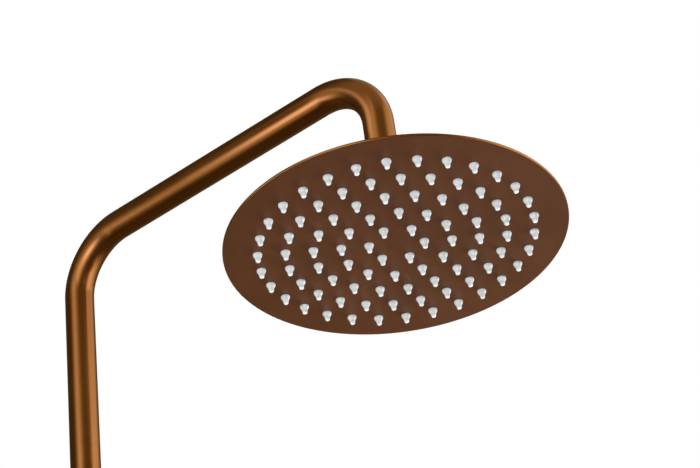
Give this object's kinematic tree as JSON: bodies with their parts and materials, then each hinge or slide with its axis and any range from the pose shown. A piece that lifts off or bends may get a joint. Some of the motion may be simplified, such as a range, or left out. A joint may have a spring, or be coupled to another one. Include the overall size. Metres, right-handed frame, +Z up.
{
  "type": "outdoor shower",
  "caption": "Free-standing outdoor shower: floor plate, column with single-lever mixer, bent overhead arm and slim round spray head on a ball joint.",
  "frame": {"origin": "middle of the floor bolt circle, on the floor plate's underside", "axes": "+Z up along the column, the arm and the lever point to -Y, hot is on the -X side"},
  "size_m": [0.25, 0.57, 2.271],
  "materials": {
    "tube_bronze": "satin, brushed along the tube",
    "head_bronze": "satin",
    "plate_bronze": "matt",
    "fitting_bronze": "satin",
    "base_bronze": "satin",
    "raw_brass": "turned",
    "copper_pipe": "drawn",
    "stainless": "turned",
    "clear_silicone": "soft, slightly clear",
    "black_rubber": "matt",
    "white_seat": "smooth",
    "grey_plastic": "moulded",
    "white_plastic": "moulded",
    "ceramic_white": "lapped",
    "dark_plug": "moulded"
  },
  "bodies": {
    "column": {"base_plate": "base_bronze", "inlet_block": "raw_brass", "inlet_screws": "stainless", "check_valves": "grey_plastic", "channel_plugs": "stainless", "base_cover": "base_bronze", "base_set_screws": "stainless", "hot_feed_tube": "copper_pipe", "cold_feed_tube": "copper_pipe", "feed_seals": "black_rubber", "lower_tube": "tube_bronze", "mixer_body": "fitting_bronze", "mixer_set_screws": "stainless", "riser_seals": "black_rubber", "cartridge_base": "grey_plastic", "port_seals": "black_rubber", "fixed_disc": "ceramic_white", "cartridge_housing": "grey_plastic", "cartridge_nut": "raw_brass", "barrel_dome": "fitting_bronze", "riser_tube": "tube_bronze", "arm_nipple": "fitting_bronze", "filter_screen": "stainless", "flow_regulator": "grey_plastic", "pipe_washer": "black_rubber", "swivel_collar": "fitting_bronze", "swivel_nut": "fitting_bronze", "ball_seal": "black_rubber"},
    "cartridge_core": {"cartridge_rotor": "white_plastic", "pivot_pin": "stainless"},
    "disc_slider": {"moving_disc": "ceramic_white", "disc_carrier": "grey_plastic"},
    "lever": {"spindle": "stainless", "handle_cap": "fitting_bronze", "lever_rod": "fitting_bronze", "handle_screw": "stainless", "handle_plug": "dark_plug"},
    "joint_seat": {"ball_seat": "white_seat"},
    "head": {"ball_stud": "fitting_bronze", "stud_washer": "black_rubber", "head_boss": "fitting_bronze", "head_shell": "head_bronze", "flow_spreader": "stainless", "spacer_pads": "stainless", "spray_plate": "plate_bronze", "nozzles": "clear_silicone"}
  },
  "joints": [
    {"name": "temperature_turn", "type": "hinge", "parent": "column", "child": "cartridge_core", "pos_m": [0, -0.02395, 1.1], "axis": [0, -1, 0], "range_deg": [-45, 45]},
    {"name": "flow_lift", "type": "hinge", "parent": "cartridge_core", "child": "lever", "pos_m": [0, -0.02395, 1.1], "axis": [1, 0, 0], "range_deg": [0, 25]},
    {"name": "disc_slide", "type": "slide", "parent": "cartridge_core", "child": "disc_slider", "axis": [0, 0, 1], "range_m": [0, 0.0022]},
    {"name": "head_swivel", "type": "hinge", "parent": "column", "child": "joint_seat", "pos_m": [0, -0.32, 2.144], "axis": [0, 0, 1], "continuous": true},
    {"name": "head_tilt", "type": "hinge", "parent": "joint_seat", "child": "head", "pos_m": [0, -0.32, 2.144], "axis": [1, 0, 0], "range_deg": [-15, 15]}
  ],
  "couplings": [
    {"joint": "disc_slide", "follows": "flow_lift", "m_per_rad": 0.0049}
  ]
}
